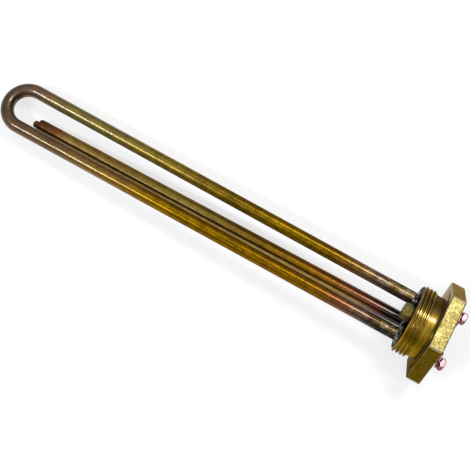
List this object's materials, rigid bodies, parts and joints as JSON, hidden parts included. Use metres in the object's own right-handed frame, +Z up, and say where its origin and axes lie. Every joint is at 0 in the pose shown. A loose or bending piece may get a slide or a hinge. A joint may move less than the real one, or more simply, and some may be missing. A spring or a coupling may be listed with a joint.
{
  "type": "screw plug immersion heater",
  "caption": "Hexagon brass screw plug with a long hairpin heating element, a straight thermostat pocket beside it, and terminals behind the hexagon.",
  "frame": {"origin": "centre of the hexagon's outer face, the side outside the tank", "axes": "+X along the tubes into the tank, +Y across the element's legs towards leg a, +Z up, away from the thermostat pocket"},
  "size_m": [0.3007, 0.063, 0.055],
  "materials": {
    "machined_brass": "turned and milled brass, sand-textured on the hexagon's forged flats",
    "tarnished_copper": "drawn copper tube, heat-tinted and tarnished to olive-gold",
    "fired_copper": "drawn copper tube, fired dark near the plug and at its tip",
    "silver_braze": "silver braze fillet, grey with a soft sheen",
    "pink_copper": "bright pickled copper",
    "steatite": "fired steatite ceramic",
    "packed_magnesia": "packed white magnesia powder",
    "nickel_chrome": "drawn nickel-chrome wire",
    "pin_steel": "drawn steel pin",
    "silicone_seal": "cured silicone sealing plug"
  },
  "bodies": {
    "root": {"plug_body": "machined_brass", "element_sheath": "tarnished_copper", "magnesia_fill": "packed_magnesia", "heating_coil": "nickel_chrome", "thermostat_pocket": "fired_copper", "anode_nut": "machined_brass", "braze_leg_a": "silver_braze", "braze_leg_b": "silver_braze", "braze_pocket": "silver_braze", "cold_pin_a": "pin_steel", "cold_pin_b": "pin_steel", "end_seal_a": "silicone_seal", "end_seal_b": "silicone_seal", "terminal_bead_a": "steatite", "terminal_bead_b": "steatite", "terminal_tab_a": "pink_copper", "terminal_tab_b": "pink_copper", "terminal_nut_a": "pink_copper", "terminal_nut_b": "pink_copper"}
  },
  "joints": []
}
